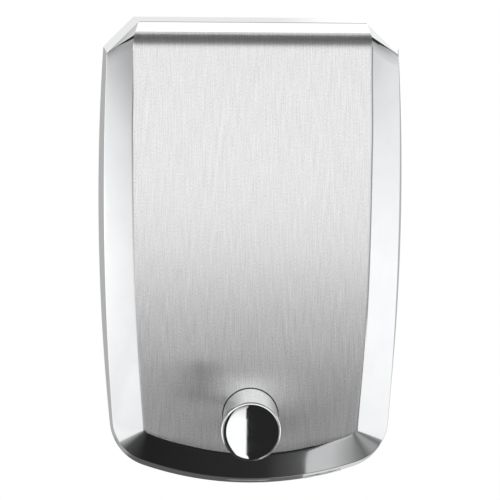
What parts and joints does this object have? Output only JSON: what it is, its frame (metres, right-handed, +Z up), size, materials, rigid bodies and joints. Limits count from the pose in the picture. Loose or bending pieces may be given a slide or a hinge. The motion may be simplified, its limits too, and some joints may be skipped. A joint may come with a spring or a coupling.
{
  "type": "wall mounted soap dispenser",
  "caption": "Stainless wall soap dispenser with a bevelled cover that swings up on a hidden hinge, a chrome push button, a plunger pump, a refill tank and a key lock.",
  "frame": {"origin": "centre of the wall plate's rear face, which is the centre of its screw pattern", "axes": "+X to the right seen from the front, +Y into the wall, +Z up"},
  "size_m": [0.1238, 0.1003, 0.19],
  "materials": {
    "cover_steel": "satin panel with polished bevels",
    "plate_steel": "plain rolled sheet",
    "pin_steel": "drawn wire and turned steel",
    "button_chrome": "mirror",
    "lock_chrome": "bright plated",
    "tank_plastic": "translucent moulded",
    "pump_plastic": "moulded",
    "dark_plastic": "moulded",
    "seal_rubber": "matte",
    "valve_silicone": "satin"
  },
  "bodies": {
    "wall_unit": {"wall_plate": "plate_steel", "hinge_arms": "plate_steel", "hinge_pin": "pin_steel", "pin_clip": "pin_steel", "lock_strike": "plate_steel", "hook_bar": "plate_steel", "plate_rivets": "plate_steel", "tank": "tank_plastic", "cap_hinge_pin": "pin_steel", "pump_barrel": "pump_plastic", "rod_seal": "seal_rubber", "inlet_valve": "valve_silicone", "pump_gasket": "seal_rubber", "pump_nut": "pump_plastic", "spout": "pump_plastic", "spout_seal": "seal_rubber", "outlet_valve": "valve_silicone", "return_spring": "pin_steel"},
    "piston": {"plunger": "pump_plastic", "piston": "pump_plastic", "piston_seal": "seal_rubber", "piston_screw": "pin_steel"},
    "cover": {"front_cover": "cover_steel", "hinge_leaf": "plate_steel", "button_bush": "dark_plastic", "bush_studs": "plate_steel", "bush_nuts": "plate_steel", "lock_housing": "lock_chrome", "lock_nut": "lock_chrome"},
    "button": {"push_button": "button_chrome", "button_core": "dark_plastic", "button_ring": "pin_steel"},
    "lock": {"lock_barrel": "lock_chrome", "lock_cam": "lock_chrome", "cam_screw": "pin_steel"},
    "cap": {"tank_cap": "tank_plastic", "cap_seal": "seal_rubber"}
  },
  "joints": [
    {"name": "cover_swing", "type": "hinge", "parent": "wall_unit", "child": "cover", "pos_m": [0, -0.012, 0.088], "axis": [-1, 0, 0], "range_deg": [0, 95]},
    {"name": "button_press", "type": "slide", "parent": "cover", "child": "button", "axis": [0, 0.9849, 0.1733], "range_m": [0, 0.008]},
    {"name": "piston_stroke", "type": "slide", "parent": "wall_unit", "child": "piston", "axis": [0, 0.9849, 0.1733], "range_m": [0, 0.008], "stiffness_N_per_m": 600, "springref_m": -0.004, "deforming": ["return_spring"]},
    {"name": "lock_turn", "type": "hinge", "parent": "cover", "child": "lock", "pos_m": [0.03, -0.016, -0.09028], "axis": [0.223, -0.1004, -0.9696], "range_deg": [0, 90]},
    {"name": "cap_flip", "type": "hinge", "parent": "wall_unit", "child": "cap", "pos_m": [0, -0.0218, 0.059], "axis": [-1, 0, 0], "range_deg": [0, 90]}
  ],
  "couplings": [
    {"joint": "piston_stroke", "follows": "button_press", "ratio": 1}
  ]
}
